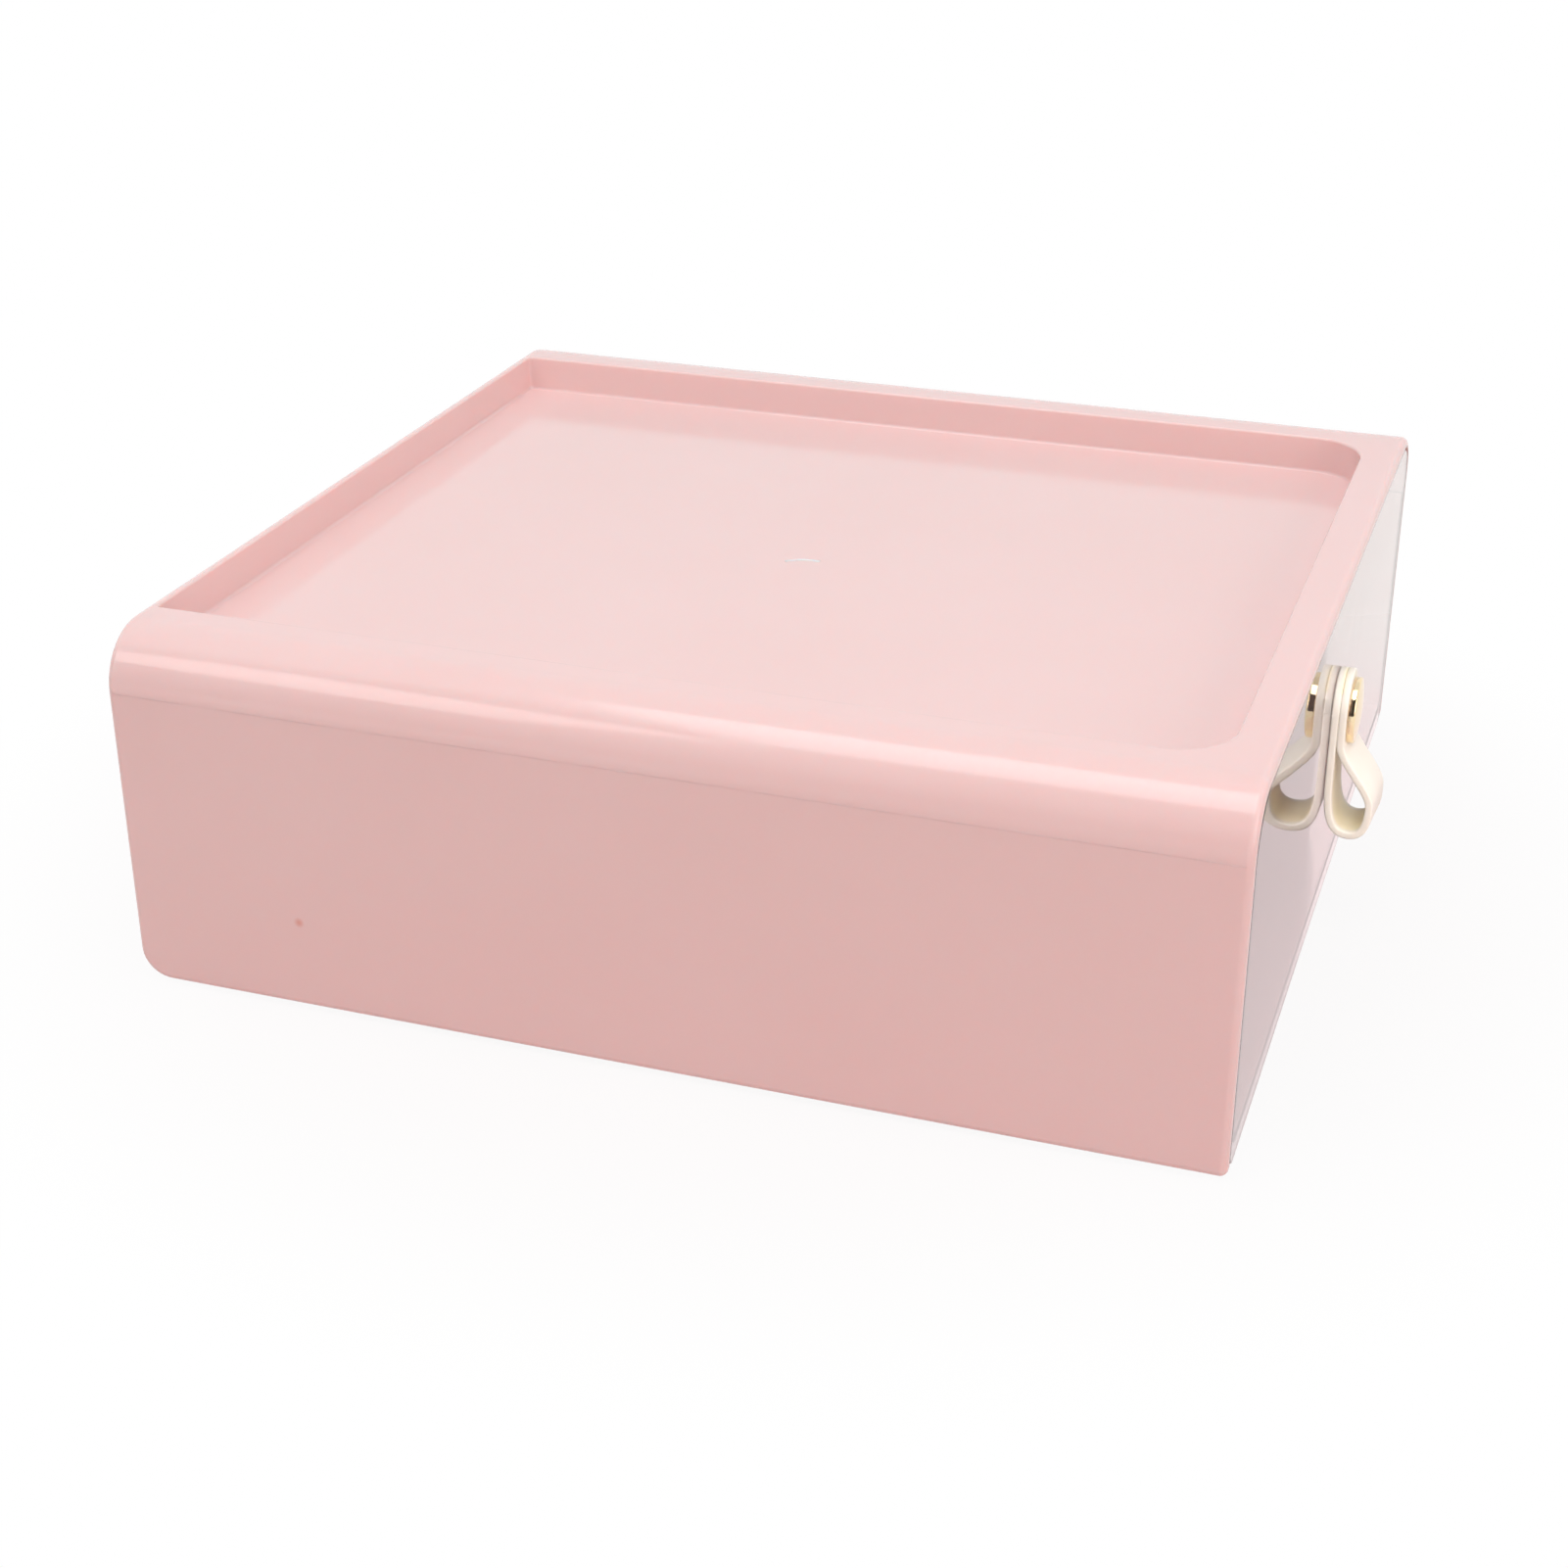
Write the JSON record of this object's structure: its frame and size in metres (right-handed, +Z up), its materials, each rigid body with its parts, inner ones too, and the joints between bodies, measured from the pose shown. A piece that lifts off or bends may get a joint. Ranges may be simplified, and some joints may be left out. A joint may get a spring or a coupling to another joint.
{
  "type": "drawer storage box",
  "caption": "Low moulded storage box with a sunk tray in its rounded top and a clear drawer that slides out on a folded strap pull under a domed stud.",
  "frame": {"origin": "in the middle of the casing's underside; the pads reach 1 mm below it", "axes": "+Z up, the drawer opens towards -Y, +X to the right seen from the front"},
  "size_m": [0.229, 0.2508, 0.082],
  "materials": {
    "pink_plastic": "satin moulded",
    "clear_plastic": "polished clear",
    "cream_strap": "smooth satin",
    "gold_metal": "polished gold plate",
    "steel": "zinc plated",
    "pad_rubber": "matt silicone"
  },
  "bodies": {
    "case": {"casing": "pink_plastic", "foot_pad_front_left": "pad_rubber", "foot_pad_front_right": "pad_rubber", "foot_pad_back_left": "pad_rubber", "foot_pad_back_right": "pad_rubber"},
    "drawer": {"drawer": "clear_plastic", "strap_fixed_end": "cream_strap", "stud": "gold_metal", "stud_washer": "steel", "stud_screw": "steel"},
    "strap": {"strap_loop": "cream_strap"}
  },
  "joints": [
    {"name": "drawer_slide", "type": "slide", "parent": "case", "child": "drawer", "axis": [0, -1, 0], "range_m": [0, 0.185]},
    {"name": "strap_lift", "type": "hinge", "parent": "drawer", "child": "strap", "pos_m": [0, -0.12175, 0.0413], "axis": [-1, 0, 0], "range_deg": [0, 80]}
  ]
}
